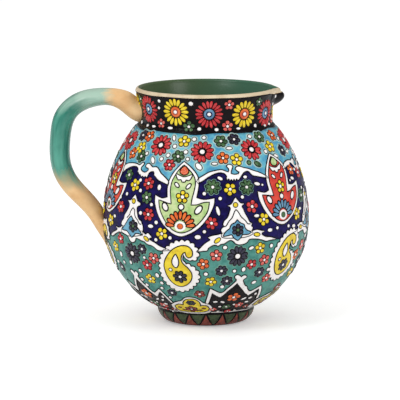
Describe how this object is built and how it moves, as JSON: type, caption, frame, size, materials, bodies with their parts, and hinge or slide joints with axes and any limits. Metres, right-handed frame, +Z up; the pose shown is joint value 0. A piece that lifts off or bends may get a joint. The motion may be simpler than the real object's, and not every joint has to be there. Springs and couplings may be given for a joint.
{
  "type": "pitcher",
  "caption": "Globular enamelled terracotta pitcher with a short flared neck, a pulled pouring beak, a strap handle and raised floral ornament.",
  "frame": {"origin": "centre of the face that the foot ring rests on", "axes": "+Z up along the thrown axis, +X towards the pouring beak, -X towards the handle, -Y the side seen in the picture"},
  "size_m": [0.2205, 0.1758, 0.2],
  "materials": {
    "terracotta": "fired clay, matt, enamelled over most of the outside",
    "turquoise_glaze": "glossy brushed glaze that thins to bare clay at both ends",
    "white_enamel": "raised, glossy",
    "red_enamel": "raised, glossy",
    "yellow_enamel": "raised, glossy",
    "green_enamel": "raised, glossy",
    "blue_enamel": "raised, glossy",
    "navy_enamel": "glossy ground colour of the belly",
    "cyan_enamel": "glossy ground colour of the shoulder",
    "teal_enamel": "glossy ground colour of the lower belly",
    "black_enamel": "glossy ground colour of the neck and base, and the outlines",
    "orange_enamel": "raised, glossy",
    "inner_glaze": "glossy glaze on the inside"
  },
  "bodies": {
    "root": {"globe": "terracotta", "foot_ring": "terracotta", "neck_and_beak": "terracotta", "handle": "turquoise_glaze", "neck_rosettes_red": "red_enamel", "neck_rosettes_yellow": "yellow_enamel", "neck_rosette_eyes": "white_enamel", "shoulder_rosettes": "red_enamel", "palmette_frames": "white_enamel", "palmette_fields_green": "green_enamel", "palmette_fields_red": "red_enamel", "upper_scrolls": "white_enamel", "tent_frames": "white_enamel", "tent_fields": "blue_enamel", "lower_festoons": "white_enamel", "paisley_halos": "white_enamel", "paisleys": "yellow_enamel", "belly_flowers": "yellow_enamel", "lower_flowers": "red_enamel", "base_arches": "white_enamel", "cloud_frames": "white_enamel", "cloud_fields": "yellow_enamel", "foot_teeth_red": "red_enamel", "foot_teeth_green": "green_enamel"}
  },
  "joints": []
}
